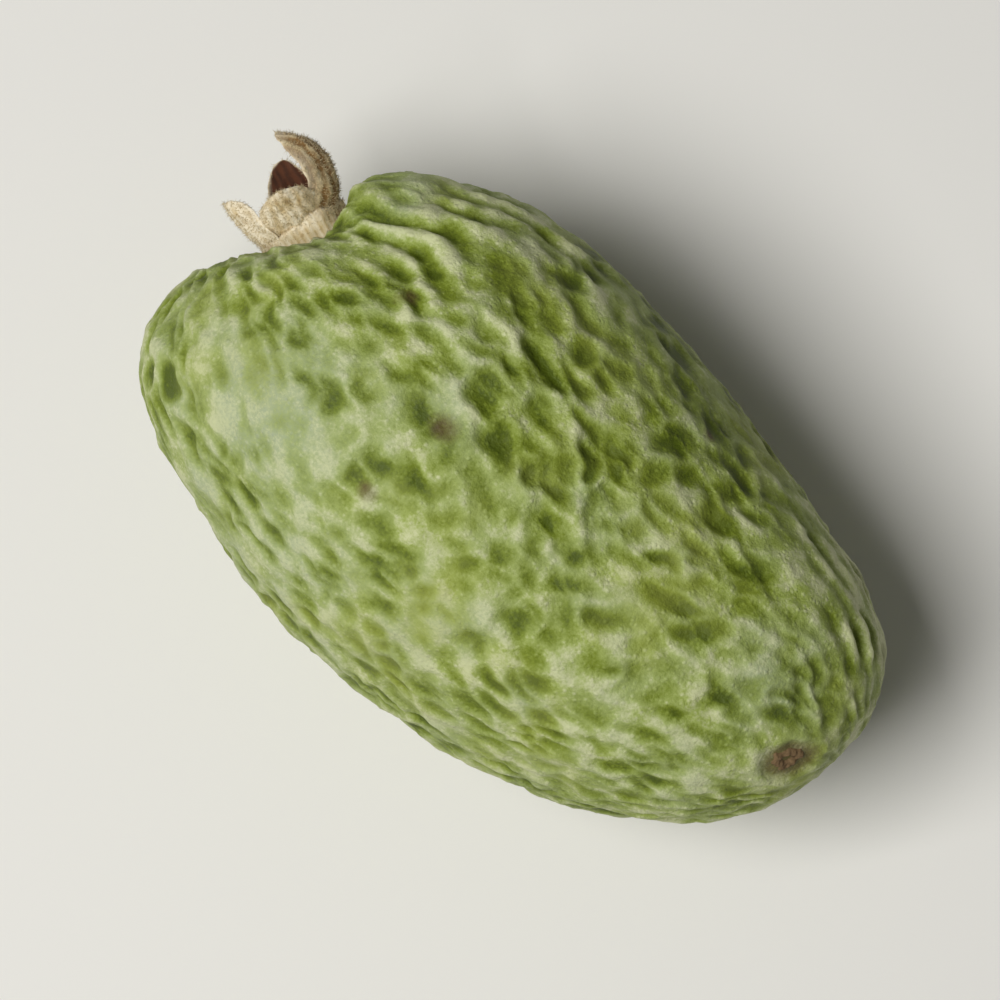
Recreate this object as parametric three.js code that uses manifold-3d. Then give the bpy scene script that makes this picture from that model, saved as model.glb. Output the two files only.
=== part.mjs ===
// A feijoa (pineapple guava): one oblong green berry with a pitted, net-ridged skin, lying on its side.
// A crown of four dry sepals stands on a short collar at its blossom end, round the stub of the old style.
// Millimetres. The berry's axis runs along x, with the crown at the +x end, +Z is up, z = 0 is the surface
// that the berry lies on, and the origin is the middle of the bottom of the whole fruit's box.
// "Round" is an angle about the axis, from the top towards +y.
import * as THREE from "three";
import { mergeVertices } from "three/addons/utils/BufferGeometryUtils.js";
import Module from "manifold-3d";

// Berry: a body of revolution, with one superellipse for each end
const WIDTH = 37.4;
const WIDEST_X = 4.8;
const CROWN_END = { reach: 24.6, flatness: 2.2, fullness: 2.5 }; // blunt; reach is from the widest section
const STEM_END = { reach: 35.2, flatness: 1.8, fullness: 2.7 }; // longer, tapers to a round end
const SKIN_DETAIL = 23; // splits of each edge of the icosahedron that the skin's triangles come from

// What makes it lopsided
const BEND = { side: 4.2, up: 3, power: 2.6 }; // the stem end hooks towards -y and upward
const SKEW = { slope: 0.2, power: 2 }; // the crown's face is turned a little towards -y
const SWELLINGS = [
  { x: 24, round: 80, reach: 12, stretch: 1, height: 1.3 }, // proud shoulder on one side of the crown
  { x: 25.5, round: -58, reach: 5.5, stretch: 1.2, height: 1.1 }, // lobe on the other
  { x: 23, round: -22, reach: 5.5, stretch: 2, height: -1.2 }, // crease that runs down from the crown
  { x: 28, round: -16, reach: 6.5, stretch: 1, height: -1.6 }, // notch in the crown's rim
  { x: 17, round: 25, reach: 10, stretch: 1.2, height: 0.5 },
  { x: -12, round: 62, reach: 12, stretch: 1.5, height: -0.6 }, // flat cheek
  { x: -19, round: -40, reach: 10, stretch: 1.3, height: 0.5 },
  { x: 2, round: 150, reach: 12, stretch: 1.5, height: 0.4 },
  { x: 6, round: -95, reach: 10, stretch: 1.6, height: -0.4 },
  { x: 8, round: 100, reach: 9, stretch: 1.4, height: 0.4 },
];

// Hollows at the two ends
const CROWN_HOLLOW = { side: -3.1, radius: 8.4, depth: 3 };
const STEM_SCAR = { side: 2.4, up: 8, radius: 2.6, depth: 0.7 };

// Skin relief: pits laid out by the golden angle, each moved a little off its place, in a raised net
const PITS = 440;
const PIT = { depth: 0.8, scatter: 1.2, merge: 1 }; // pits closer than merge run together
const PIT_STRETCH = { middle: 1.2, ends: 2 }; // how far the pits are drawn out along the berry
const GOLDEN_ANGLE = Math.PI * (3 - Math.sqrt(5));
const CALM_PATCHES = [
  { x: 15, round: 38, reach: 11, share: 0.65 }, // where the pits are shallow
  { x: 1.5, round: 180, reach: 8, share: 1 }, // where the berry lies
];
const PLAIN_RADIUS = 6; // the relief fades out inside this distance of the crown and of the stem scar
const FOLDS = { x: 17, round: -40, reach: 14, count: 32, height: 0.34 }; // count is for all the way round
const FOLD_SWAY = { turn: 1.6, length: 12 }; // each fold wanders by this turn of its own wave, in radians

// Crown: a short collar with four sepals on its rim, in two crossed pairs
const COLLAR = { foot: 3.1, waist: 3.3, rim: 3.6, bore: 2.5, height: 3, floor: 1.2, sides: 28 };
const COLLAR_STANDS_OUT = 1.5; // this much of its height is above the skin
const SEPALS = [
  { round: -62, length: 7.8, width: 5, lean: 46, curl: -105 },
  { round: 8, length: 3.2, width: 4.8, lean: 54, curl: -30 },
  { round: 88, length: 4.5, width: 5.8, lean: 19, curl: -10 },
  { round: 200, length: 5.2, width: 4.6, lean: 20, curl: -30 },
];
const SEPAL = { thickness: 1, cup: 0.9, broadBase: 0.28, sunk: 1.5, sides: 14, steps: 14 };
const STYLE = { radius: 0.55, tip: 0.35, length: 3.4, sides: 12 };
const STYLE_HOLE = { radius: 0.85, floor: 0.5 };
const GAP = 0.3; // between pieces that touch

// How it lies: the middle of the axis, low enough for a flat spot about 14 mm long, and the crown's dip in
// degrees, below zero because that end lies a little high, so that the weight is over the flat spot
const REST = { x: -1.29, y: -0.33, z: 17.65, dip: -4.8 };

const wasm = await Module();
wasm.setup();

// A closed geometry as a solid that can be joined and cut
function toSolid(geometry) {
  const bare = geometry.clone();
  bare.deleteAttribute("normal");
  bare.deleteAttribute("uv");
  const merged = mergeVertices(bare, 1e-4);
  return new wasm.Manifold(
    new wasm.Mesh({
      numProp: 3,
      vertProperties: merged.attributes.position.array,
      triVerts: new Uint32Array(merged.index.array),
    }),
  );
}

function toGeometry(solid) {
  const { vertProperties, triVerts } = solid.getMesh();
  const geometry = new THREE.BufferGeometry();
  geometry.setAttribute("position", new THREE.BufferAttribute(vertProperties, 3));
  geometry.setIndex(new THREE.BufferAttribute(triVerts, 1));
  geometry.computeVertexNormals();
  return geometry;
}

// Moves every vertex of a geometry to where place(point, index) puts it
function reshape(geometry, place) {
  const position = geometry.attributes.position;
  const point = new THREE.Vector3();
  for (let i = 0; i < position.count; i++) {
    point.fromBufferAttribute(position, i);
    place(point, i);
    position.setXYZ(i, point.x, point.y, point.z);
  }
  return geometry;
}

// A smooth hump: 1 in its middle, falling to 0 at its reach
function hump(distance, reach) {
  const t = Math.min(distance / reach, 1);
  return (1 - t * t) ** 2;
}

// The same value between 0 and 1 for the same two whole numbers, with no pattern from one to the next
function scatter(index, row) {
  const wave = Math.sin(12.9898 * index + 78.233 * row) * 43758.5453;
  return wave - Math.floor(wave);
}

// A point of the body of revolution: its radius is (W/2) (1 - t^flatness)^(1/fullness), t = 1 at the end
function bodyPoint(x, round) {
  const end = x > WIDEST_X ? CROWN_END : STEM_END;
  const t = Math.min(Math.abs(x - WIDEST_X) / end.reach, 1);
  const radius = (WIDTH / 2) * (1 - t ** end.flatness) ** (1 / end.fullness);
  return new THREE.Vector3(x, radius * Math.sin(round), radius * Math.cos(round));
}

// Squared distance between two points of the body, with the part of it along the berry drawn in
function drawnInDistance(a, b, stretch) {
  const alongX = (a.x - b.x) ** 2;
  const outward = (Math.hypot(a.y, a.z) - Math.hypot(b.y, b.z)) ** 2;
  const across = (a.y - b.y) ** 2 + (a.z - b.z) ** 2 - outward;
  return across + (alongX + outward) / stretch ** 2;
}

// How far a point of the body is from the line through the middle of the nearer end's hollow
function distanceFromEnd(point) {
  const middle = point.x > 0 ? { y: CROWN_HOLLOW.side, z: 0 } : { y: STEM_SCAR.side, z: STEM_SCAR.up };
  return Math.hypot(point.y - middle.y, point.z - middle.z);
}

const pits = Array.from({ length: PITS }, (_, i) => {
  const end = { crown: WIDEST_X + CROWN_END.reach, stem: WIDEST_X - STEM_END.reach };
  const x = THREE.MathUtils.lerp(end.crown, end.stem, (i + 0.5) / PITS);
  const moved = THREE.MathUtils.clamp(x + PIT.scatter * (2 * scatter(i, 1) - 1), end.stem, end.crown);
  const round = i * GOLDEN_ANGLE + (PIT.scatter * (2 * scatter(i, 2) - 1)) / (WIDTH / 2);
  return bodyPoint(moved, round);
});

function placed(patch) {
  return { ...patch, point: bodyPoint(patch.x, THREE.MathUtils.degToRad(patch.round)) };
}

const swellings = SWELLINGS.map(placed);
const calmPatches = CALM_PATCHES.map(placed);
const folds = placed(FOLDS);

// Depth of the pitted net at a point of the body: deepest at the nearest pit, least halfway to the next
function pitDepth(point) {
  const middle = (CROWN_END.reach - STEM_END.reach) / 2 + WIDEST_X;
  const half = (CROWN_END.reach + STEM_END.reach) / 2;
  const endward = (Math.abs(point.x - middle) / half) ** 2;
  const stretch = THREE.MathUtils.lerp(PIT_STRETCH.middle, PIT_STRETCH.ends, endward);
  let nearest = Infinity;
  let second = Infinity;
  for (const pit of pits) {
    const distance = drawnInDistance(point, pit, stretch);
    second = Math.min(second, Math.max(nearest, distance));
    nearest = Math.min(nearest, distance);
  }
  let depth = PIT.depth * (1 - nearest / (second + PIT.merge ** 2));
  depth *= 1 - hump(distanceFromEnd(point), PLAIN_RADIUS);
  for (const patch of calmPatches) {
    depth *= 1 - patch.share * hump(point.distanceTo(patch.point), patch.reach);
  }
  return depth;
}

// Height of the folds that run along the berry on one shoulder: a wave round it that sways along it
function foldHeight(point) {
  const round = Math.atan2(point.y, point.z);
  const sway = FOLD_SWAY.turn * Math.sin((2 * Math.PI * point.x) / FOLD_SWAY.length);
  const nearness = hump(point.distanceTo(folds.point), folds.reach);
  return folds.height * nearness * Math.sin(folds.count * round + sway);
}

// Height of the skin over the body of revolution
function skinHeight(point) {
  let height = foldHeight(point) - pitDepth(point);
  for (const swelling of swellings) {
    const distance = Math.sqrt(drawnInDistance(point, swelling.point, swelling.stretch));
    height += swelling.height * hump(distance, swelling.reach);
  }
  return height;
}

// Hollows the two ends with a steep wall and a flat floor, turns the crown's face and bends the stem end
function makeLopsided(point) {
  const hollow = point.x > 0 ? CROWN_HOLLOW : STEM_SCAR;
  point.x -= Math.sign(point.x) * hollow.depth * hump(distanceFromEnd(point) ** 2, hollow.radius ** 2);
  const crownward = Math.max((point.x - WIDEST_X) / CROWN_END.reach, 0);
  const stemward = Math.max((WIDEST_X - point.x) / STEM_END.reach, 0);
  point.x += SKEW.slope * point.y * crownward ** SKEW.power;
  point.y -= BEND.side * stemward ** BEND.power;
  point.z += BEND.up * stemward ** BEND.power;
}

// Where the crown stands: its own +y is the collar's axis, and its origin the socket's floor
function makeCrownPlace() {
  const skin = new THREE.Vector3(WIDEST_X + CROWN_END.reach, CROWN_HOLLOW.side, 0);
  makeLopsided(skin);
  const depth = COLLAR.height + GAP - COLLAR_STANDS_OUT;
  const facing = new THREE.Vector3(1, -SKEW.slope, 0).normalize();
  const place = new THREE.Group();
  place.position.copy(skin).addScaledVector(facing, -depth);
  place.quaternion.setFromUnitVectors(new THREE.Vector3(0, 1, 0), facing);
  place.updateMatrix();
  return place;
}

const lie = new THREE.Group();
lie.position.set(REST.x, REST.y, REST.z);
lie.rotation.y = THREE.MathUtils.degToRad(REST.dip);
lie.updateMatrix();

// The berry, with the crown's socket cut and its underside pressed flat where it lies
function makeFruit(crownPlace) {
  const ball = new THREE.IcosahedronGeometry(1, SKIN_DETAIL);
  ball.deleteAttribute("normal");
  ball.deleteAttribute("uv");
  const skin = mergeVertices(ball, 1e-5);
  reshape(skin, (point) => {
    const end = point.x > 0 ? CROWN_END : STEM_END;
    point.copy(bodyPoint(WIDEST_X + point.x * end.reach, Math.atan2(point.y, point.z)));
  });
  skin.computeVertexNormals();
  const outward = new THREE.Vector3();
  reshape(skin, (point, i) => {
    outward.fromBufferAttribute(skin.attributes.normal, i);
    point.addScaledVector(outward, skinHeight(point));
    makeLopsided(point);
  });
  const radius = COLLAR.waist + GAP;
  const socket = new THREE.CylinderGeometry(radius, radius, WIDTH / 2, COLLAR.sides);
  socket.translate(0, WIDTH / 4, 0).applyMatrix4(crownPlace.matrix);
  const berry = toGeometry(toSolid(skin).subtract(toSolid(socket)));
  berry.applyMatrix4(lie.matrix);
  reshape(berry, (point) => {
    point.z = Math.max(point.z, 0);
  });
  berry.computeVertexNormals();
  return berry;
}

// One sepal: a flattened ball, its width cupped to the rim's curve, its length carried along an arc that
// leaves the rim, leans out from the crown's axis and curls as it goes
function makeSepal({ round, length, width, lean, curl }) {
  const start = THREE.MathUtils.degToRad(lean);
  const bendPerLength = THREE.MathUtils.degToRad(curl) / length;
  const rimRadius = (COLLAR.rim + COLLAR.bore) / 2;
  const blade = new THREE.SphereGeometry(1, SEPAL.sides, SEPAL.steps);
  reshape(blade, (point) => {
    const along = THREE.MathUtils.lerp(-SEPAL.sunk, length, (point.y + 1) / 2);
    const angle = start + bendPerLength * along;
    const outward = (SEPAL.thickness / 2) * point.z - SEPAL.cup * point.x ** 2;
    const radial = rimRadius + (Math.cos(start) - Math.cos(angle)) / bendPerLength;
    const axial = COLLAR.height + (Math.sin(angle) - Math.sin(start)) / bendPerLength;
    point.x *= (width / 2) * (1 - SEPAL.broadBase * point.y);
    point.y = axial - outward * Math.sin(angle);
    point.z = radial + outward * Math.cos(angle);
  });
  return blade.rotateY(-THREE.MathUtils.degToRad(round));
}

function makeCalyx() {
  const profile = [
    [0, GAP],
    [COLLAR.foot, GAP],
    [COLLAR.waist, 0.5 * COLLAR.height],
    [COLLAR.rim, 0.85 * COLLAR.height],
    [(COLLAR.rim + COLLAR.bore) / 2, COLLAR.height],
    [COLLAR.bore, 0.85 * COLLAR.height],
    [0.8 * COLLAR.bore, COLLAR.floor],
    [STYLE_HOLE.radius, COLLAR.floor],
    [STYLE_HOLE.radius, STYLE_HOLE.floor + GAP],
    [0, STYLE_HOLE.floor + GAP],
  ].map(([radius, height]) => new THREE.Vector2(radius, height));
  let calyx = toSolid(new THREE.LatheGeometry(profile, COLLAR.sides));
  for (const sepal of SEPALS) {
    calyx = calyx.add(toSolid(makeSepal(sepal)));
  }
  return toGeometry(calyx);
}

function makeStyle() {
  const foot = STYLE_HOLE.floor + 2 * GAP;
  const profile = [
    [0, foot],
    [STYLE.radius, foot],
    [STYLE.tip, foot + 0.75 * STYLE.length],
    [STYLE.radius, foot + 0.92 * STYLE.length], // the stigma is a small knob
    [0, foot + STYLE.length],
  ].map(([radius, height]) => new THREE.Vector2(radius, height));
  return new THREE.LatheGeometry(profile, STYLE.sides);
}

function piece(name, geometry, color, roughness) {
  const mesh = new THREE.Mesh(geometry, new THREE.MeshStandardMaterial({ color, roughness, metalness: 0 }));
  mesh.name = name;
  return mesh;
}

const crown = makeCrownPlace();
const feijoa = new THREE.Group();
feijoa.add(piece("fruit", makeFruit(crown), 0x879c58, 0.62));
crown.add(piece("calyx", makeCalyx(), 0xb39a7c, 0.9));
crown.add(piece("style", makeStyle(), 0x5a3a28, 0.85));
lie.add(crown);
feijoa.add(lie);

export default feijoa;
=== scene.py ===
"""Looks of the feijoa: its netted waxy skin, the corky scar at its stem end and its crown of felted sepals.

Lengths in the constants are millimetres, as in the part's source; lengths in the settings are metres.
The berry's axis runs along x, crown at the +x end. "Round" is an angle about it, from the top towards +y.
"""
import math

import bpy
import numpy as np
from bpy.props import FloatProperty, FloatVectorProperty, IntProperty, PointerProperty
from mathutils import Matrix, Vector


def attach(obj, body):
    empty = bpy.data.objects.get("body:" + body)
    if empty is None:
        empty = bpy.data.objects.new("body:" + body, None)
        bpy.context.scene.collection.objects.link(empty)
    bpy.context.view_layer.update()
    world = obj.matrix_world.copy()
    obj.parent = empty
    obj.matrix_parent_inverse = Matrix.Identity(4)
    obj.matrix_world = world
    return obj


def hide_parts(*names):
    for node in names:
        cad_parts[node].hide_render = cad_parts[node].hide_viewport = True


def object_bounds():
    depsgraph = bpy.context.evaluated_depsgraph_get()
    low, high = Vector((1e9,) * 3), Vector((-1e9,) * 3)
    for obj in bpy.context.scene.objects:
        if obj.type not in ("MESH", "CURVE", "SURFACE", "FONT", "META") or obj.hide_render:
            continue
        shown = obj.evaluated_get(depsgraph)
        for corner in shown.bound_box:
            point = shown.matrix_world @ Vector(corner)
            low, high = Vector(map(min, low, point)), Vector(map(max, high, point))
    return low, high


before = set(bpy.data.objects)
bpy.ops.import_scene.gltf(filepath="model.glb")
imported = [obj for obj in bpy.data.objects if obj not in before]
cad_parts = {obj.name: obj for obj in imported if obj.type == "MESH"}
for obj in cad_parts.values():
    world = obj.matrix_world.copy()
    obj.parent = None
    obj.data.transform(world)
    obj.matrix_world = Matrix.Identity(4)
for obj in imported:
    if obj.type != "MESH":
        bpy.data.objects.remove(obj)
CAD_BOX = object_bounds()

bl_info = {
    "name": "Feijoa looks",
    "version": (1, 0, 0),
    "blender": (4, 5, 0),
    "location": "3D View > Sidebar > Feijoa",
    "description": "Skin, stem scar, calyx, style, felt and stage of a feijoa",
    "category": "Add Mesh",
}

MM = 0.001  # metres in a millimetre
BODY = "root"

# Berry: a body of revolution, with one superellipse for each end
HALF_WIDTH = 18.7
WIDEST_X = 4.8
CROWN_END = {"reach": 24.6, "flatness": 2.2, "fullness": 2.5}
STEM_END = {"reach": 35.2, "flatness": 1.8, "fullness": 2.7}

# What makes it lopsided
BEND = {"side": 4.2, "up": 3.0, "power": 2.6}
SKEW = {"slope": 0.2, "power": 2}
SWELLINGS = [
    {"x": 24, "round": 80, "reach": 12, "stretch": 1, "height": 1.3},
    {"x": 25.5, "round": -58, "reach": 5.5, "stretch": 1.2, "height": 1.1},
    {"x": 23, "round": -22, "reach": 5.5, "stretch": 2, "height": -1.2},
    {"x": 28, "round": -16, "reach": 6.5, "stretch": 1, "height": -1.6},
    {"x": 17, "round": 25, "reach": 10, "stretch": 1.2, "height": 0.5},
    {"x": -12, "round": 62, "reach": 12, "stretch": 1.5, "height": -0.6},
    {"x": -19, "round": -40, "reach": 10, "stretch": 1.3, "height": 0.5},
    {"x": 2, "round": 150, "reach": 12, "stretch": 1.5, "height": 0.4},
    {"x": 6, "round": -95, "reach": 10, "stretch": 1.6, "height": -0.4},
    {"x": 8, "round": 100, "reach": 9, "stretch": 1.4, "height": 0.4},
]
CROWN_HOLLOW = {"side": -3.1, "radius": 8.4, "depth": 3.0}
STEM_SCAR = {"side": 2.4, "up": 8, "radius": 2.6, "depth": 0.7}
REST = {"x": -1.29, "y": -0.33, "z": 17.65, "dip": -4.8}

# Skin relief: a net of ridges round large pits, and a finer net within it
PITS = {
    "count": 440,
    "scatter": 1.2,  # how far each is moved off its even place
    "merge": 1.0,  # those closer than this run together
    "middle": 1.2,  # how many times longer than wide they are at the middle of the berry
    "ends": 2.0,
    "window": 9.0,  # how far along the berry the next pit can be
    "warped": 1.5,
    "sharpness": 1.3,
    "strength": 0.4,  # with noise of this size and height, and kept between least and most
    "size": 9,
    "uneven": 0.3,
    "least": 0.15,
    "most": 1.2,
    "gives_way": 0.5,  # how much of them goes where there are folds
    "kept": 0,  # how much of them is left in a calm patch or at an end
    "darkening": 1.6,  # the higher, the more the green keeps to their bottoms
    "seed": 16,
    "row": 1,
}
SMALL_PITS = {
    "count": 1050,
    "scatter": 1.5,
    "merge": 0.5,
    "middle": 1.5,
    "ends": 3.6,
    "window": 6.0,
    "warped": 1.0,
    "sharpness": 1.25,
    "strength": 0.95,
    "size": 7,
    "uneven": 0.3,
    "least": 0.5,
    "most": 1.3,
    "gives_way": 1,
    "kept": 0.25,
    "darkening": 1.5,
    "seed": 17,
    "row": 5,
}
CALM_PATCHES = [  # where the pits are shallow
    {"x": 15, "round": 38, "reach": 11, "share": 0.65},
    {"x": 1.5, "round": 180, "reach": 8, "share": 1.0},
    {"x": -1, "round": 30, "reach": 14, "share": 0.4},
    {"x": -30.4, "round": 0, "reach": 6, "share": 0.7},
    {"x": 1, "round": -68, "reach": 15, "share": 0.35},
]
DEEP_PATCHES = [  # where the large pits are deepest
    {"x": 3, "round": -8, "reach": 19, "share": 0.5},
    {"x": 3.5, "round": -7, "reach": 5.5, "share": 0.45},
    {"x": 17, "round": 52, "reach": 6, "share": 0.6},
    {"x": 25, "round": 78, "reach": 5, "share": -0.5},
    {"x": 2, "round": 150, "reach": 22, "share": 0.5},
    {"x": 2, "round": -120, "reach": 18, "share": 0.4},
]
PLAIN_RADIUS = 6  # the relief fades out inside this distance of the crown and of the stem scar
GOLDEN_ANGLE = math.pi * (3 - math.sqrt(5))
WARP = {"size": 3.2, "by": 0.42}  # the nets' cells are pushed out of true by this much
LEAN = {"size": 24.0, "round": 0.1, "along": 1.4}  # and drift out of line, in radians and mm
ROUGHNESS = {"size": 1.6, "height": 0.05}
SKIN_ROWS = 246
SKIN_COLUMNS = 400
FOLDS = [  # wrinkles that run along the berry, turned by the twist, in degrees for each mm
    {"x": 17, "round": -40, "reach": 16, "count": 32, "height": 0.36, "twist": 0.7, "share": 0.5},
    {"x": -23, "round": -65, "reach": 14, "count": 34, "height": 0.24, "twist": 0, "share": 0.8},
    {"x": -24, "round": 60, "reach": 9, "count": 50, "height": 0.07, "twist": 0, "share": 0.2},
]
FOLD_SWAY = {"size": 12, "by": 2.6}  # in radians of each fold's own wave
FOLD_BREAKS = {"size": 6, "usual": 0.7, "uneven": 0.6, "least": 0.1, "most": 1.4}
FOLD_FADE = (3, 9)  # how far from the axis they start, and have their whole height
PLEATS = {  # fan out from the collar
    "count": 19,
    "inner": 3.2,
    "reach": 7.5,
    "height": 0.2,
    "size": 9,
    "sway": 1.2,
}
WELL = {"radius": 3.2, "wall": 0.7, "depth": 2.6}  # the skin dips under the collar's floor
# Bloom patches; the one at x 24.2 is a painted highlight on the shoulder's ridge, and the two with negative
# shares are painted shade on the -y side, away from the key
BLOOM_AND_PAINTED_LIGHT_PATCHES = [
    {"x": 17.5, "round": 30, "reach": 9, "share": 0.7},
    {"x": 12, "round": 60, "reach": 14, "share": 0.25},
    {"x": 9, "round": 3, "reach": 3.5, "share": 0.5},
    {"x": -6, "round": -10, "reach": 4.5, "share": 0.5},
    {"x": -23, "round": -8, "reach": 7, "share": 0.5},
    {"x": -10, "round": 140, "reach": 12, "share": 0.35},
    {"x": 8, "round": -130, "reach": 12, "share": 0.35},
    {"x": 24.2, "round": -45, "reach": 4.5, "share": 0.55},
    {"x": 19, "round": -28, "reach": 12, "share": -0.25},
    {"x": -20, "round": -65, "reach": 13, "share": -0.2},
]
GREEN_AND_SHADE_PATCHES = [  # where the skin is a deeper green, and where shade is painted on the -y side
    {"x": -1, "round": 32, "reach": 15, "share": 0.08},
    # Painted shade: these three darken the -y side, which faces away from the key
    {"x": 19, "round": -30, "reach": 11, "share": 0.1},
    {"x": -21, "round": -40, "reach": 13, "share": 0.15},
    {"x": 0, "round": -82, "reach": 22, "share": 0.3},
    {"x": -28.5, "round": 12, "reach": 5, "share": 0.15},
]
STREAKS = {"thin": 2.1, "drawn_out": 5.0, "height": 0.04}  # mm across, and how many times longer they are
GREEN = {  # how much each relief adds to the skin's green, from 0 on a pale ridge to 1 in a dark pit
    "flat": 0.04,
    "pit": 0.3,
    "small_pit": 0.8,
    "small_kept": 0.3,  # of which this share is left in a calm patch or at an end
    "fold": -1.3,
    "pleat": -0.14,
    "streak": -0.09,
    "uneven": 0.13,
}
UNEVEN = {"size": 2.4, "drawn_in": 0.6}
# The bloom grows towards +y, the side facing the key: partly the bloom's own unevenness, partly painted
# light
BLOOM = {"usual": 0.16, "side_bloom_and_light": 0.12, "uneven": 0.22, "size": 5}
DOWN = {"inner": 2.5, "reach": 6.5}  # how far from the crown's middle it is thick, and then fades out
STAIN_AND_SHADE = {"share": 0.7, "inner": 0.6, "reach": 2.6}  # of cork, round the stem scar, spread wide enough to paint the shade at the stem end as well
SCABS = [  # small brown healed marks
    {"x": 8.3, "round": 27, "reach": 1.6, "share": 0.6},
    {"x": 17.2, "round": -13, "reach": 2.0, "share": 0.4},
    {"x": 7.9, "round": 3, "reach": 2.6, "share": 0.42},
    {"x": -6, "round": -48, "reach": 1.3, "share": 0.5},
    {"x": -17, "round": 118, "reach": 1.6, "share": 0.7},
    {"x": 3, "round": -120, "reach": 2.2, "share": 0.6},
    {"x": 14, "round": 140, "reach": 1.4, "share": 0.6},
]

# Crown: a short collar with four sepals on its rim, and the style in its middle
COLLAR_PROFILE = [
    (0, 0.3),
    (2.2, 0.3),
    (3.1, 0.35),
    (3.25, 1.5),
    (3.45, 2.3),
    (3.45, 2.75),
    (3.05, 3.0),
    (2.65, 2.75),
    (2.45, 2.2),
    (2.1, 1.4),
    (1.7, 1.15),
    (0, 1.1),
]
COLLAR = {
    "sides": 120,
    "rim": 3.05,
    "height": 3.0,
    "stands_out": 1.5,  # of its height, the rest being in the socket
    "lobed": 0.03,  # shares of its radius
    "uneven": 0.025,
    "rim_lobes": 0.16,  # how far its rim goes up and down
    "rim_uneven": 0.08,
    "veins": 40,
}
GAP = 0.3
SEPALS = [  # in mm and degrees; pale is how much paler than usual their felt is, and the first one's low value is partly painted shade from the berry's shoulder
    # Painted shade: the first sepal's pale of -0.8 darkens its felt where the shoulder shades it, on top of
    # its own darker tan
    {"round": -62, "length": 7.8, "width": 5.0, "lean": 46, "curl": -105, "pale": -0.8},
    {"round": 8, "length": 3.2, "width": 4.8, "lean": 54, "curl": -30, "pale": 0.35},
    {"round": 88, "length": 4.5, "width": 5.8, "lean": 19, "curl": -10, "pale": 0.9},
    {"round": 200, "length": 5.2, "width": 4.6, "lean": 20, "curl": -30, "pale": 0.2},
]
SEPAL = {
    "rows": 56,
    "columns": 88,
    "sunk": 1.5,  # how much of its length is in the collar
    "cup": 0.9,  # how far its edges bend inward
    "broad_base": 0.28,
    "thickness": 0.42,
    "thinner_tip": 0.45,
    "thinner_edge": 0.35,
    "ragged_tip": 0.28,
    "frill": 0.2,
    "midrib": 0.13,
    "veins": 19,
    "vein_height": 0.035,
    "uneven": 0.07,
    "wavy": 0.12,
    "powers": (0.85, 0.8, 0.7),  # of sines, below 1 for a fuller outline, fuller edges and flatter faces
}
STAMENS = {
    "count": 38,
    "inner": 1.15,
    "outer": 2.2,
    "foot": 0.9,
    "shortest": 0.7,
    "longer": 1.1,
    "bend": 0.7,
    "sway": 0.5,
    "radius": 0.11,
    "rows": 8,
    "sides": 6,
}
STYLE_PROFILE = [
    (0, 0),
    (0.55, 0.02),
    (0.5, 0.5),
    (0.42, 1.3),
    (0.35, 2.3),
    (0.4, 2.9),
    (0.52, 3.12),
    (0.42, 3.3),
    (0, 3.36),
]
STYLE = {"foot": 0.9, "sides": 20, "furrows": 5, "pinch": 0.1, "lean": 0.07, "way": (0.25, 0.12)}
SCAR_PROFILE = [
    (0, -0.2),
    (0.2, -0.15),
    (0.4, 0),
    (0.6, 0.1),
    (0.8, 0.08),
    (0.95, 0),
    (1.1, -0.2),
    (0.9, -0.7),
    (0, -0.8),
]
SCAR_SIDES = 72
SCAR_WAY = [math.cos(math.radians(158)), 0.1, 0.25]  # the way that its button faces
HAIRS = {
    "on_collar": 2500,
    "lay": 0.7,  # 0 stands straight, and the more the flatter
    "outward": 0.25,  # the least of their way that points outwards
    "lengths": (0.5, 1.2),  # from shortest to longest, as shares of the felt's length
    "sunk": 0.08,
}
WAVES = 22  # sine waves in each smooth noise

# Stage: the key stands to the left of the camera, and the turn brings it nearer to the camera's side
KEY = {"turn": 22, "height": 63, "distance": 0.7, "size": 0.36}  # degrees and metres
CAMERA_CLIP = (0.01, 20)

FACTOR, FIRST_COLOUR, SECOND_COLOUR = 0, 6, 7  # sockets of a Mix node that mixes colours
MIXED_COLOUR = 2


def linear(hex_colour):
    """Linear RGB of an sRGB hex: c / 12.92 up to 0.04045, and ((c + 0.055) / 1.055)^2.4 above it."""
    parts = np.array([int(hex_colour[i : i + 2], 16) / 255 for i in (1, 3, 5)])
    return tuple(np.where(parts <= 0.04045, parts / 12.92, ((parts + 0.055) / 1.055) ** 2.4).tolist())


# ---------------------------------------------------------------- shapes


def hump(distance, reach):
    """(1 - t^2)^2 with t = distance / reach, and 0 from the reach on."""
    t = np.minimum(np.abs(distance) / reach, 1)
    return (1 - t * t) ** 2


def step(value, low, high):
    """3 t^2 - 2 t^3 with t from 0 at low to 1 at high."""
    t = np.clip((value - low) / (high - low), 0, 1)
    return t * t * (3 - 2 * t)


def scatter(index, row):
    """The fraction of 43758.5453 sin(12.9898 index + 78.233 row), spread evenly over 0 to 1."""
    wave = np.sin(12.9898 * index + 78.233 * row) * 43758.5453
    return wave - np.floor(wave)


def ripple(points, size, seed):
    """Smooth noise, mostly within 1 of 0: sqrt(2 / n) / 1.5 x the sum of n sines of 2 pi w.p / size + phase.

    The ways w and the phases are random, and the ways are 0.6 to 1.5 long.
    """
    draw = np.random.default_rng(seed)
    ways = draw.normal(size=(3, WAVES))
    ways *= draw.uniform(0.6, 1.5, WAVES) / np.linalg.norm(ways, axis=0)
    phases = draw.uniform(0, 2 * math.pi, WAVES)
    waves = np.sin(2 * math.pi * (points @ ways) / size + phases)
    return waves.sum(-1) * math.sqrt(2 / WAVES) / 1.5


def full_turn(count):
    """Angles evenly spread round a full turn, as a row."""
    return np.linspace(0, 2 * math.pi, count, endpoint=False)[None, :]


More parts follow.
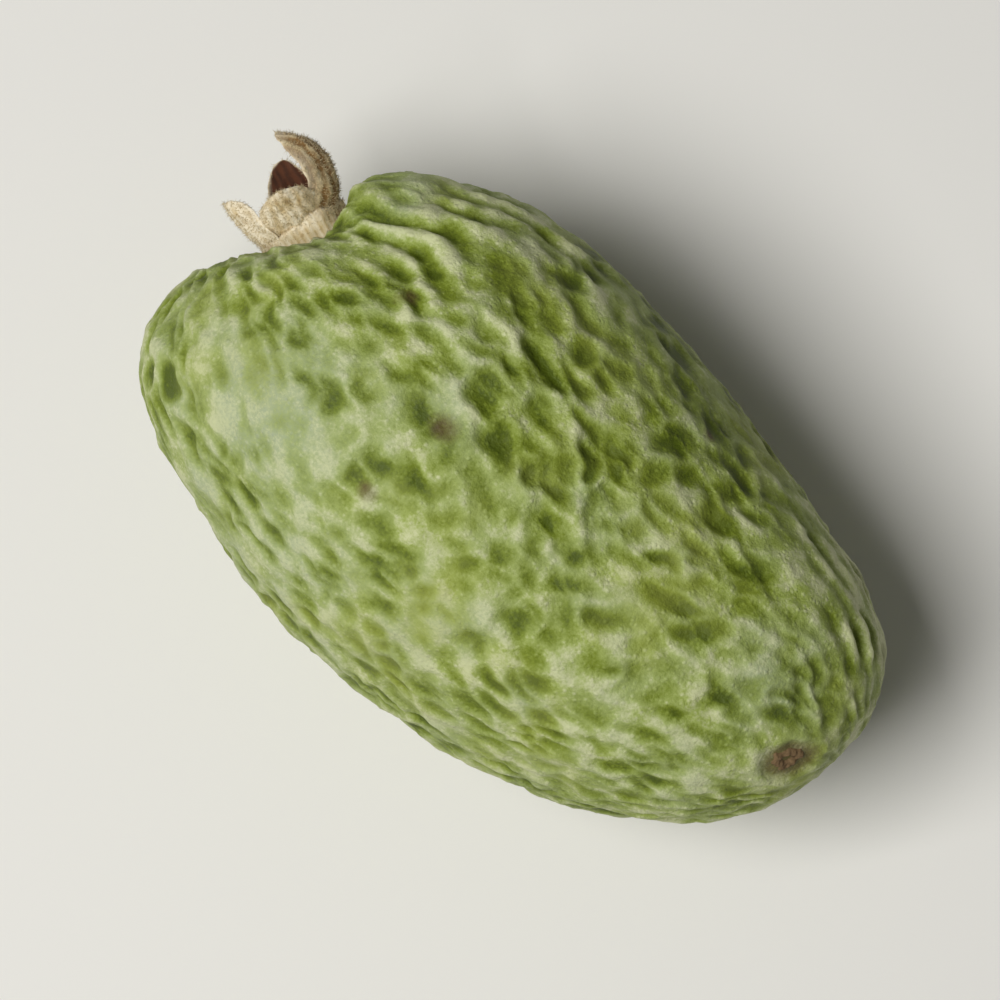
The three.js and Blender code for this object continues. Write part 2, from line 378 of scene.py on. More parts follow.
def body_point(x, angle):
    """(x, r sin a, r cos a), r = R (1 - t^flatness)^(1 / fullness), t = |x - widest| / reach of that end."""
    crownward = x > WIDEST_X
    reach = np.where(crownward, CROWN_END["reach"], STEM_END["reach"])
    flatness = np.where(crownward, CROWN_END["flatness"], STEM_END["flatness"])
    fullness = np.where(crownward, CROWN_END["fullness"], STEM_END["fullness"])
    t = np.minimum(np.abs(x - WIDEST_X) / reach, 1)
    radius = HALF_WIDTH * (1 - t**flatness) ** (1 / fullness)
    return np.stack(np.broadcast_arrays(x, radius * np.sin(angle), radius * np.cos(angle)), -1)


def body_profile(samples=6000):
    """x = widest +- reach sin(s)^(2/flatness), r = R cos(s)^(2/fullness), with the outward normal of each.

    The normal is (+- flatness t^(flatness-1) / reach, fullness (r/R)^(fullness-1) / R), brought to length 1.
    """
    parts = []
    for end, sign in ((CROWN_END, 1), (STEM_END, -1)):
        s = np.linspace(0, math.pi / 2, samples)
        t = np.sin(s) ** (2 / end["flatness"])
        full = np.cos(s).clip(0) ** (2 / end["fullness"])
        normal_x = sign * end["flatness"] * t ** (end["flatness"] - 1) / end["reach"]
        normal_r = end["fullness"] * full ** (end["fullness"] - 1) / HALF_WIDTH
        length = np.hypot(normal_x, normal_r)
        x = WIDEST_X + sign * end["reach"] * t
        part = np.stack([x, HALF_WIDTH * full, normal_x / length, normal_r / length])
        parts.append(part[:, ::-1] if sign > 0 else part[:, 1:])
    return np.concatenate(parts, axis=1)


def body_grid(rows, columns):
    """Points and normals of the smooth body, with rows evenly spaced along its profile, crown end first."""
    x, radius, normal_x, normal_r = body_profile()
    walked = np.concatenate([[0], np.cumsum(np.hypot(np.diff(x), np.diff(radius)))])
    at = np.linspace(0, walked[-1], rows)
    x, radius, normal_x, normal_r = (
        np.interp(at, walked, values)[:, None] for values in (x, radius, normal_x, normal_r)
    )
    angle = full_turn(columns)
    radius[[0, -1]] = 0
    points = np.stack(np.broadcast_arrays(x, radius * np.sin(angle), radius * np.cos(angle)), -1)
    normals = np.stack(np.broadcast_arrays(normal_x, normal_r * np.sin(angle), normal_r * np.cos(angle)), -1)
    return points, normals


def radius_of(points):
    """sqrt(y^2 + z^2)."""
    return np.hypot(points[..., 1], points[..., 2])


def drawn_in(points, others, stretch):
    """Squared distances dy^2 + dz^2 - dr^2 + (dx^2 + dr^2) / stretch^2, r the distance from the axis."""
    offset = points - others
    outward = (radius_of(points) - radius_of(others)) ** 2
    across = offset[..., 1] ** 2 + offset[..., 2] ** 2 - outward
    return across + (offset[..., 0] ** 2 + outward) / stretch**2


def lay_pits(kind):
    """Pit i lies at the share (i + 0.5) / count along the berry, i golden angles round, a little moved."""
    index = np.arange(kind["count"])
    crown, stem = WIDEST_X + CROWN_END["reach"], WIDEST_X - STEM_END["reach"]
    x = crown + (stem - crown) * (index + 0.5) / kind["count"]
    x = np.clip(x + kind["scatter"] * (2 * scatter(index, kind["row"]) - 1), stem, crown)
    moved = kind["scatter"] * (2 * scatter(index, kind["row"] + 1) - 1)
    return body_point(x, index * GOLDEN_ANGLE + moved / HALF_WIDTH)


def net(points, kind):
    """1 - a / (b + merge^2), a and b the squared drawn-in distances to the nearest and the next pit.

    Each row of the grid looks only at the pits within the window of it along x.
    """
    pits = lay_pits(kind)
    middle = (CROWN_END["reach"] - STEM_END["reach"]) / 2 + WIDEST_X
    half = (CROWN_END["reach"] + STEM_END["reach"]) / 2
    endward = (np.abs(points[..., 0] - middle) / half) ** 2
    stretch = kind["middle"] + (kind["ends"] - kind["middle"]) * endward
    value = np.empty(points.shape[:2])
    for row, (line, drawn) in enumerate(zip(points, stretch)):
        near = pits[np.abs(pits[:, 0] - line[:, 0].mean()) < kind["window"]]
        squares = drawn_in(line[:, None], near[None], drawn[:, None])
        first, second = np.partition(squares, 1, axis=1)[:, :2].T
        value[row] = 1 - first / (second + kind["merge"] ** 2)
    return np.clip(value, 0, 1)


def pits_on(body, laid, kind, patchy):
    """net^sharpness x (strength + patchy + noise, from least to most), the net read at the points laid."""
    warp = np.stack([ripple(body, WARP["size"], seed) for seed in (11, 12, 13)], -1) * WARP["by"]
    strength = kind["strength"] + patchy + kind["uneven"] * ripple(body, kind["size"], kind["seed"])
    narrowed = net(laid + kind["warped"] * warp, kind) ** kind["sharpness"]
    return narrowed * np.clip(strength, kind["least"], kind["most"])


def placed(patch):
    """Where on the body a patch has its middle."""
    return body_point(np.float64(patch["x"]), math.radians(patch["round"]))


def patch_hump(points, patch):
    """hump(distance to the patch's middle, reach)."""
    return hump(np.linalg.norm(points - placed(patch), axis=-1), patch["reach"])


def patches(points, listed):
    """Sum over the patches of share x hump."""
    return sum(patch["share"] * patch_hump(points, patch) for patch in listed)


def distance_from_end(points):
    """Distance in y and z from the middle of the hollow at the nearer end."""
    crownward = points[..., 0] > 0
    side = np.where(crownward, CROWN_HOLLOW["side"], STEM_SCAR["side"])
    up = np.where(crownward, 0, STEM_SCAR["up"])
    return np.hypot(points[..., 1] - side, points[..., 2] - up)


def make_lopsided(points):
    """x -= depth (1 - (d / radius)^4)^2, d from the end; x += slope y c^2; y -= side s^2.6; z += up s^2.6.

    c and s are how far the point lies towards the crown and the stem end, 0 at the widest section.
    """
    x, y, z = np.moveaxis(points, -1, 0)
    distance = distance_from_end(points)
    crown_dip = CROWN_HOLLOW["depth"] * hump(distance**2, CROWN_HOLLOW["radius"] ** 2)
    stem_dip = STEM_SCAR["depth"] * hump(distance**2, STEM_SCAR["radius"] ** 2)
    x = np.where(x > 0, x - crown_dip, x + stem_dip)
    crownward = np.maximum((x - WIDEST_X) / CROWN_END["reach"], 0)
    stemward = np.maximum((WIDEST_X - x) / STEM_END["reach"], 0)
    x = x + SKEW["slope"] * y * crownward ** SKEW["power"]
    y = y - BEND["side"] * stemward ** BEND["power"]
    z = z + BEND["up"] * stemward ** BEND["power"]
    return np.stack([x, y, z], -1)


def lie_down(points):
    """Turns the points about y by the dip and lifts them on to the surface, where z is 0."""
    dip = math.radians(REST["dip"])
    x, y, z = np.moveaxis(points, -1, 0)
    turned = [math.cos(dip) * x + math.sin(dip) * z, y, math.cos(dip) * z - math.sin(dip) * x]
    return np.stack(turned, -1) + [REST["x"], REST["y"], REST["z"]]


def swell(points):
    """Sum over the swellings of height x hump(drawn-in distance, reach)."""
    height = 0
    for swelling in SWELLINGS:
        squares = drawn_in(points, placed(swelling), swelling["stretch"])
        height = height + swelling["height"] * hump(np.sqrt(squares), swelling["reach"])
    return height


def folds(points):
    """Sum of height x hump x sin(count (round + twist (x - its x)) + noise) x noise, faded at the axis."""
    angle = np.arctan2(points[..., 1], points[..., 2])
    total = np.zeros(points.shape[:2])
    for seed, fold in enumerate(FOLDS):
        turned = angle + math.radians(fold["twist"]) * (points[..., 0] - fold["x"])
        sway = FOLD_SWAY["by"] * ripple(points, FOLD_SWAY["size"], 40 + seed)
        uneven = FOLD_BREAKS["uneven"] * ripple(points, FOLD_BREAKS["size"], 45 + seed)
        breaks = np.clip(FOLD_BREAKS["usual"] + uneven, FOLD_BREAKS["least"], FOLD_BREAKS["most"])
        shape = np.sin(fold["count"] * turned + sway) * breaks
        total += fold["height"] * patch_hump(points, fold) * shape
    return total * step(radius_of(points), *FOLD_FADE)


def pleats(points, end_distance):
    """sin(count round the collar + noise) x a step up at the collar x a hump that ends at the reach."""
    round_ = np.arctan2(points[..., 1] - CROWN_HOLLOW["side"], points[..., 2])
    ring = (points[..., 0] > 0) * step(end_distance, PLEATS["inner"] - 1, PLEATS["inner"])
    ring = ring * hump(np.maximum(end_distance - PLEATS["inner"], 0), PLEATS["reach"])
    return np.sin(PLEATS["count"] * round_ + PLEATS["sway"] * ripple(points, PLEATS["size"], 21)) * ring


def leant(points):
    """The points turned about the axis by noise and moved along it by noise, both slow."""
    drift = LEAN["round"] * ripple(points, LEAN["size"], 14)
    x, y, z = np.moveaxis(points, -1, 0)
    moved = x + LEAN["along"] * ripple(points, LEAN["size"], 15)
    turned = [y * np.cos(drift) + z * np.sin(drift), z * np.cos(drift) - y * np.sin(drift)]
    return np.stack([moved, *turned], -1)


def softened(values):
    """Each value of a grid becomes half itself and an eighth of each neighbour, so no ridge is jagged."""
    along = np.concatenate([values[:1], values, values[-1:]])
    round_ = np.roll(values, 1, axis=1) + np.roll(values, -1, axis=1)
    return 0.5 * values + 0.125 * (along[:-2] + along[2:] + round_)


def kept(share, fade):
    """share + (1 - share) fade, so this share is left where the fade is 0."""
    return share + (1 - share) * fade


def skin_grid(settings):
    """The berry's skin: the smooth body, moved along its normals by the sum of its reliefs.

    height = swellings - depth pits - small depth small pits + folds + pleats + roughness + streaks. The
    pits fade out in calm patches and at the two ends, and give way to the folds where those are.
    """
    body, outward = body_grid(SKIN_ROWS, SKIN_COLUMNS)
    leaning = leant(body)
    end_distance = distance_from_end(body)
    crownward = body[..., 0] > 0
    calm = np.prod([1 - patch["share"] * patch_hump(body, patch) for patch in CALM_PATCHES], 0)
    fade = (1 - hump(end_distance, PLAIN_RADIUS)) * calm
    folded = patches(body, FOLDS)
    pit = pits_on(body, body, PITS, patches(body, DEEP_PATCHES)) * (1 - PITS["gives_way"] * folded)
    small = pits_on(body, leaning, SMALL_PITS, 0) * (1 - SMALL_PITS["gives_way"] * folded)
    wrinkles = folds(body)
    pleated = pleats(body, end_distance)
    streaks = ripple(leaning * [1 / STREAKS["drawn_out"], 1, 1], STREAKS["thin"], 53)

    height = swell(body) - settings.pit_depth / MM * pit * kept(PITS["kept"], fade)
    height -= settings.small_depth / MM * small * kept(SMALL_PITS["kept"], fade)
    height += wrinkles + PLEATS["height"] * pleated
    height += ROUGHNESS["height"] * ripple(body, ROUGHNESS["size"], 31) + STREAKS["height"] * streaks * fade
    skin = make_lopsided(body + outward * softened(height)[..., None])
    well = crownward * (1 - step(end_distance, WELL["radius"] - WELL["wall"], WELL["radius"]))
    skin[..., 0] -= WELL["depth"] * well
    skin = lie_down(skin)
    skin[..., 2] = np.maximum(skin[..., 2], 0)

    hollow = GREEN["flat"] + GREEN["pit"] * pit ** PITS["darkening"] * fade
    hollow += GREEN["small_pit"] * small ** SMALL_PITS["darkening"] * kept(GREEN["small_kept"], fade)
    hollow += GREEN["fold"] * wrinkles + GREEN["pleat"] * pleated + GREEN["streak"] * streaks
    hollow += GREEN["uneven"] * ripple(leaning * [UNEVEN["drawn_in"], 1, 1], UNEVEN["size"], 52)
    # Greener patches, of which those on the -y side are painted shade
    hollow += patches(body, GREEN_AND_SHADE_PATCHES)
    # Thicker bloom towards +y, partly real bloom and partly painted light on the side facing the key
    bloom = BLOOM["usual"] + BLOOM["side_bloom_and_light"] * body[..., 1] / HALF_WIDTH
    # Bloom patches, with a painted highlight and painted shade among them
    bloom += BLOOM["uneven"] * ripple(body, BLOOM["size"], 51) + patches(body, BLOOM_AND_PAINTED_LIGHT_PATCHES)
    felt = crownward * hump(np.maximum(end_distance - DOWN["inner"], 0), DOWN["reach"])
    # Cork stain round the stem scar, which also darkens the stem end as painted shade
    stain_and_shade = STAIN_AND_SHADE["share"] * ~crownward * hump(np.maximum(end_distance - STAIN_AND_SHADE["inner"], 0), STAIN_AND_SHADE["reach"])
    marks_and_shade = patches(body, SCABS) + stain_and_shade
    made = {"hollow": hollow, "bloom": bloom, "felt": felt, "marks_and_shade": marks_and_shade}
    return skin, {name: np.clip(softened(values), 0, 1) for name, values in made.items()}


def crown_place():
    """The socket's floor, and the crown's own x, y and z: y is the way that it faces."""
    middle = np.array([[[WIDEST_X + CROWN_END["reach"], CROWN_HOLLOW["side"], 0.0]]])
    facing = np.array([1, -SKEW["slope"], 0]) / math.hypot(1, SKEW["slope"])
    floor = make_lopsided(middle)[0, 0] - facing * (COLLAR["height"] + GAP - COLLAR["stands_out"])
    across = np.array([facing[1], -facing[0], 0])
    return floor, np.stack([across, facing, [0, 0, 1]])


def stand_on_crown(points):
    """Takes points from the crown's own axes to where the berry lies."""
    floor, axes = crown_place()
    return lie_down(points @ axes + floor)


def lathe(radius, height, sides):
    """(r sin a, h, r cos a) for each point of the profile and each of the angles a."""
    angle = full_turn(sides)
    radius, height = radius[:, None], height[:, None]
    return np.stack(np.broadcast_arrays(radius * np.sin(angle), height, radius * np.cos(angle)), -1)


def smooth_line(corners, steps):
    """Radius and height of Catmull-Rom's curve through the corners, on the axis at its two ends."""
    corners = np.asarray(corners, float)
    padded = np.concatenate([2 * corners[:1] - corners[1:2], corners, 2 * corners[-1:] - corners[-2:-1]])
    t = np.linspace(0, 1, steps, endpoint=False)[:, None]
    spans = []
    for before, here, there, after in zip(padded, padded[1:], padded[2:], padded[3:]):
        slope = (there - before) * t
        bulge = (2 * before - 5 * here + 4 * there - after) * t**2
        spans.append(0.5 * (2 * here + slope + bulge + (3 * here - before - 3 * there + after) * t**3))
    radius, height = np.concatenate([*spans, corners[-1:]]).T
    radius = np.maximum(radius, 0)
    radius[[0, -1]] = 0
    return radius, height


def collar_grid():
    """A lathed collar: radius x (1 + lobed sin(n a) + noise), its rim raised by rim_lobes sin(n a) + noise.

    n is the number of the sepals.
    """
    radius, height = smooth_line(COLLAR_PROFILE, 6)
    points = lathe(radius, height, COLLAR["sides"])
    angle = full_turn(COLLAR["sides"])
    lobes = len(SEPALS) * angle
    wave = 1 + COLLAR["lobed"] * np.sin(lobes + 0.6) + COLLAR["uneven"] * ripple(points, 1.6, 61)
    points[..., [0, 2]] *= wave[..., None]
    rim = step(height, 1.8, COLLAR["height"])[:, None] * np.ones_like(angle)
    uneven = COLLAR["rim_uneven"] * ripple(points, 1.1, 62)
    points[..., 1] += rim * (COLLAR["rim_lobes"] * np.sin(lobes + 1.0) + uneven)
    inner = np.arange(len(height))[:, None] > np.argmax(height)
    inside = inner * step(-points[..., 1], -2.75, -2.1)
    vein = 0.5 + 0.5 * np.sin(COLLAR["veins"] * angle) * np.ones_like(inside)
    return points, {"inside": inside, "vein": vein, "rim": rim}


def sepal_grid(sepal, seed):
    """A thin leaf on an arc: at share v of its length the arc's way is lean + curl v, from the crown's axis.

    Across it lies at w p (1 - b c), p from -1 to 1 and c from -1 at the foot to 1 at the tip, and out from
    the arc at thickness q - cup p^2 + midrib + veins + frill, q its side, 1 outside and -1 inside.
    """
    turn = np.linspace(math.pi, 0, SEPAL["rows"])[:, None]
    round_ = full_turn(SEPAL["columns"])
    outline, edges, faces = SEPAL["powers"]
    full = np.sin(turn) ** outline
    across = np.sign(np.cos(round_)) * np.abs(np.cos(round_)) ** edges * full
    side = np.sign(np.sin(round_)) * np.abs(np.sin(round_)) ** faces * np.ones_like(turn)
    lengthwise = np.cos(turn) * np.ones_like(round_)
    share = (lengthwise + 1) / 2

    lean = math.radians(sepal["lean"])
    bend = math.radians(sepal["curl"]) / sepal["length"]
    along = -SEPAL["sunk"] + (sepal["length"] + SEPAL["sunk"]) * share
    edge = np.stack([across, share * 0, share * 0 + seed], -1)
    along = along + SEPAL["ragged_tip"] * ripple(edge, 1.1, 70 + seed) * share**2 * full
    angle = lean + bend * along

    here = np.stack([across * sepal["width"] / 2, along, side * 0.3], -1)
    thickness = SEPAL["thickness"] * full * (1 - SEPAL["thinner_tip"] * share)
    thickness = thickness * (1 - SEPAL["thinner_edge"] * across**2)
    out = thickness * side - SEPAL["cup"] * across**2
    out = out + SEPAL["frill"] * np.abs(across) ** 3 * np.sin(7 * share + 2.1 * np.sign(across) + 1.7 * seed)
    out = out + SEPAL["midrib"] * hump(across, 0.28) * full * (1 - share)
    out = out + SEPAL["vein_height"] * np.cos(across * SEPAL["veins"]) * full
    out = out + SEPAL["uneven"] * ripple(here, 1.3, 80 + seed)

    radial = COLLAR["rim"] + (math.cos(lean) - np.cos(angle)) / bend
    axial = COLLAR["height"] + (np.sin(angle) - math.sin(lean)) / bend
    x = across * sepal["width"] / 2 * (1 - SEPAL["broad_base"] * lengthwise)
    x = x + SEPAL["wavy"] * ripple(here, 2.4, 90 + seed) * share
    y = axial - out * np.sin(angle)
    z = radial + out * np.cos(angle)
    cos, sin = math.cos(math.radians(sepal["round"])), math.sin(math.radians(sepal["round"]))
    points = np.stack([cos * x - sin * z, y, sin * x + cos * z], -1)

    inside = step(-side, 0.35, 0.8) * step(full, 0.12, 0.4) * np.ones_like(share)
    rim = np.clip(step(np.abs(across), 0.55, 1.0) + step(share, 0.8, 1.0), 0, 1)
    # The vein value carries each sepal's pale, which on the first sepal includes painted shade
    vein = 0.5 + 0.5 * np.cos(across * SEPAL["veins"] + 0.8 * ripple(here, 2, 95 + seed)) + sepal["pale"]
    return points, {"inside": inside, "vein": vein, "rim": rim}


def tube(path, radii, sides):
    """Rings p + r (u cos a + v sin a) along a path, u and v square to its way; the end rings are points."""
    way = np.gradient(path, axis=0)
    way /= np.linalg.norm(way, axis=1, keepdims=True)
    u = np.cross(way, [0.31, 0.12, 0.94])
    u /= np.linalg.norm(u, axis=1, keepdims=True)
    v = np.cross(way, u)
    angle = full_turn(sides)[..., None]
    ring = u[:, None] * np.cos(angle) + v[:, None] * np.sin(angle)
    return path[:, None] + np.asarray(radii)[:, None, None] * ring


def stamen_grids():
    """Stubs of stamens in a ring: (r sin a, h, r cos a), r = foot's + bend s^2 and a = foot's + sway s."""
    share = np.linspace(0, 1, STAMENS["rows"])
    radii = STAMENS["radius"] * np.sqrt(np.sin(math.pi * (0.04 + 0.92 * share))) * (1 + 0.5 * share**6)
    radii[[0, -1]] = 0
    grids = []
    for i in range(STAMENS["count"]):
        radius = STAMENS["inner"] + (STAMENS["outer"] - STAMENS["inner"]) * math.sqrt(scatter(i, 4))
        length = STAMENS["shortest"] + STAMENS["longer"] * scatter(i, 5)
        reach = radius + STAMENS["bend"] * (scatter(i, 6) - 0.35) * share**2
        angle = i * GOLDEN_ANGLE + 0.4 * scatter(i, 3) + STAMENS["sway"] * (scatter(i, 7) - 0.5) * share
        height = STAMENS["foot"] + length * share
        path = np.stack([reach * np.sin(angle), height, reach * np.cos(angle)], -1)
        grids.append((tube(path, radii, STAMENS["sides"]), {}))
    return grids


def style_grid():
    """A lathed stub with a small knob, pinched by furrows and leaning by a share of its height squared."""
    radius, height = smooth_line(STYLE_PROFILE, 5)
    points = lathe(radius, STYLE["foot"] + height, STYLE["sides"])
    furrows = np.sin(STYLE["furrows"] * full_turn(STYLE["sides"])) * step(-height, -2.9, -2.0)[:, None]
    points[..., [0, 2]] *= (1 + STYLE["pinch"] * furrows)[..., None]
    lean = STYLE["lean"] * height[:, None, None] ** 2
    points[..., [0, 2]] += lean * STYLE["way"]
    return points, {}


def stem_scar_grid():
    """A corky button on the stem end: its profile carried round, wavy, rough, and with its foot sunk.

    At distance d from its middle the body lies at x = widest - reach (1 - (r/R)^fullness)^(1/flatness).
    """
    distance, out = smooth_line(SCAR_PROFILE, 6)
    angle = full_turn(SCAR_SIDES)
    distance = distance[:, None] * (1 + 0.08 * np.sin(3 * angle + 0.5) + 0.05 * np.sin(7 * angle))
    y = STEM_SCAR["side"] + distance * np.sin(angle)
    z = STEM_SCAR["up"] + distance * np.cos(angle)
    radius = np.hypot(y, z) / HALF_WIDTH
    x = WIDEST_X - STEM_END["reach"] * (1 - radius ** STEM_END["fullness"]) ** (1 / STEM_END["flatness"])
    points = make_lopsided(np.stack([x, y, z], -1))
    rough = 0.09 * ripple(points, 0.9, 33) + 0.05 * ripple(points, 0.45, 34)
    out = out[:, None] + rough * step(distance, 0, 0.3)
    return lie_down(points + out[..., None] * SCAR_WAY), {}


def grid_normals(points):
    """Unit cross products of a closed grid's differences along and round, turned outwards on the whole."""
    round_ = np.roll(points, -1, axis=1) - np.roll(points, 1, axis=1)
    normals = np.cross(np.gradient(points, axis=0), round_)
    normals /= np.maximum(np.linalg.norm(normals, axis=-1, keepdims=True), 1e-9)
    middle = points.reshape(-1, 3).mean(0)
    return normals if np.sum((points - middle) * normals) > 0 else -normals


def hairs(points, share, count, length, width, seed):
    """Thin three-sided spikes, foot and tip: tip = foot + l (n + lay w) / |n + lay w|, w a random way.

    They stand on random points of the grid, more of them where share is high, with their feet a little
    sunk, and none lies flatter than the least outward way.
    """
    draw = np.random.default_rng(seed)
    steps = np.linalg.norm(np.diff(points, axis=0, append=points[-1:]), axis=-1)
    rounds = np.linalg.norm(np.roll(points, -1, axis=1) - points, axis=-1)
    weight = (share * steps * rounds).ravel()
    chosen = draw.choice(weight.size, count, p=weight / weight.sum())
    row, column = np.unravel_index(chosen, share.shape)
    row_next = np.minimum(row + 1, len(points) - 1)
    column_next = (column + 1) % points.shape[1]
    s, t = draw.random((2, count, 1))
    foot = points[row, column] * (1 - s) * (1 - t) + points[row_next, column] * s * (1 - t)
    foot += points[row, column_next] * (1 - s) * t + points[row_next, column_next] * s * t
    normal = grid_normals(points)[row, column]
    way = normal + HAIRS["lay"] * draw.normal(size=(count, 3))
    way += normal * np.maximum(HAIRS["outward"] - np.sum(way * normal, -1, keepdims=True), 0)
    way /= np.linalg.norm(way, axis=-1, keepdims=True)
    tip = length * draw.uniform(*HAIRS["lengths"], (count, 1)) * way
    u = np.cross(way, [0.3, 0.2, 0.93])
    u /= np.linalg.norm(u, axis=-1, keepdims=True)
    v = np.cross(way, u)
    foot = foot - HAIRS["sunk"] * way
    ring = [width / 2 * (math.cos(angle) * u + math.sin(angle) * v) for angle in full_turn(3)[0]]
    return np.stack([foot + corner for corner in ring] + [foot + tip], 1)


# ---------------------------------------------------------------- meshes


def poles_merged(values):
    """A grid's values in one list, with one value for each pole."""
    inner = values[1:-1].reshape(-1, *values.shape[2:])
    return np.concatenate([values[:1, 0], inner, values[-1:, 0]])


def grid_faces(rows, columns, first):
    """Quads between a grid's rows, which close round, and a fan of triangles at each pole."""
    here = np.arange(columns)
    there = np.roll(here, -1)
    ring = first + 1 + columns * np.arange(rows - 2)[:, None]
    quads = np.stack([ring[:-1] + here, ring[:-1] + there, ring[1:] + there, ring[1:] + here], -1)
    last = ring[-1, 0] + columns
    start = np.stack([np.full(columns, first), ring[0] + there, ring[0] + here], -1)
    end = np.stack([ring[-1] + here, ring[-1] + there, np.full(columns, last)], -1)
    return quads.reshape(-1, 4), np.concatenate([start, end])


def volume(points, faces):
    """Sum of a . (b x c) / 6 over triangles, above 0 where the faces point outwards."""
    a, b, c = (points[faces[:, i]] for i in range(3))
    return np.einsum("ij,ij->i", a, np.cross(b, c)).sum() / 6


def new_piece(name, points, faces, material, attributes=None):
    """An object whose mesh has these points in mm, faces, smooth shading and point attributes."""
    mesh = bpy.data.meshes.new(name)
    mesh.from_pydata((points * MM).tolist(), [], faces)
    mesh.polygons.foreach_set("use_smooth", np.ones(len(mesh.polygons), bool))
    for label, values in (attributes or {}).items():
        layer = mesh.attributes.new(label, "FLOAT", "POINT")
        layer.data.foreach_set("value", values.astype(np.float32))
    mesh.materials.append(material)
    mesh.validate()
    mesh.update()
    piece = bpy.data.objects.new(name, mesh)
    bpy.context.scene.collection.objects.link(piece)
    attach(piece, BODY)
    return piece


def piece_of_grids(name, grids, material):
    """One object of closed grids, their faces turned outwards."""
    points, quads, triangles, attributes = [], [], [], {}
    first = 0
    for grid, values in grids:
        merged = poles_merged(grid)
        squares, fans = grid_faces(*grid.shape[:2], 0)
        halves = np.concatenate([squares[:, [0, 1, 2]], squares[:, [0, 2, 3]], fans])
        if volume(merged - merged.mean(0), halves) < 0:
            squares, fans = squares[:, ::-1], fans[:, ::-1]
        points.append(merged)
        quads.append(squares + first)
        triangles.append(fans + first)
        first += len(merged)
        for label, field in values.items():
            attributes.setdefault(label, []).append(poles_merged(field))
    faces = np.concatenate(quads).tolist() + np.concatenate(triangles).tolist()
    joined = {label: np.concatenate(fields) for label, fields in attributes.items()}
    return new_piece(name, np.concatenate(points), faces, material, joined)


def piece_of_spikes(name, spikes, material):
    """One object of three-sided spikes, each closed by its foot."""
    count = len(spikes)
    corners = np.array([[0, 1, 3], [1, 2, 3], [2, 0, 3], [0, 2, 1]])
    if volume(spikes[0] - spikes[0].mean(0), corners) < 0:
        corners = corners[:, ::-1]
    faces = (4 * np.arange(count)[:, None, None] + corners[None]).reshape(-1, 3)
    return new_piece(name, spikes.reshape(-1, 3), faces.tolist(), material)


# ---------------------------------------------------------------- materials


def new_material(name):
    """An empty material and its node tree."""
    material = bpy.data.materials.new(name)
    material.use_nodes = True
    material.node_tree.nodes.clear()
    return material, material.node_tree


def add(tree, kind, inputs=None, stops=None, **settings):
    """Adds a node with its settings; inputs are values, or sockets to link from, by name or number.

    A ramp's stops are listed with its two ends first, because a new ramp has just those.
    """
    node = tree.nodes.new(kind)
    for name, value in settings.items():
        setattr(node, name, value)
    for key, value in (inputs or {}).items():
        if isinstance(value, bpy.types.NodeSocket):
            tree.links.new(value, node.inputs[key])
        else:
            node.inputs[key].default_value = value
    for place, (position, colour) in enumerate(stops or []):
        elements = node.color_ramp.elements
        element = elements[place] if place < len(elements) else elements.new(position)
        element.position = position
        element.color = (*colour, 1)
    return node


def opaque(colour):
    """A colour with full alpha."""
    return (*colour, 1)


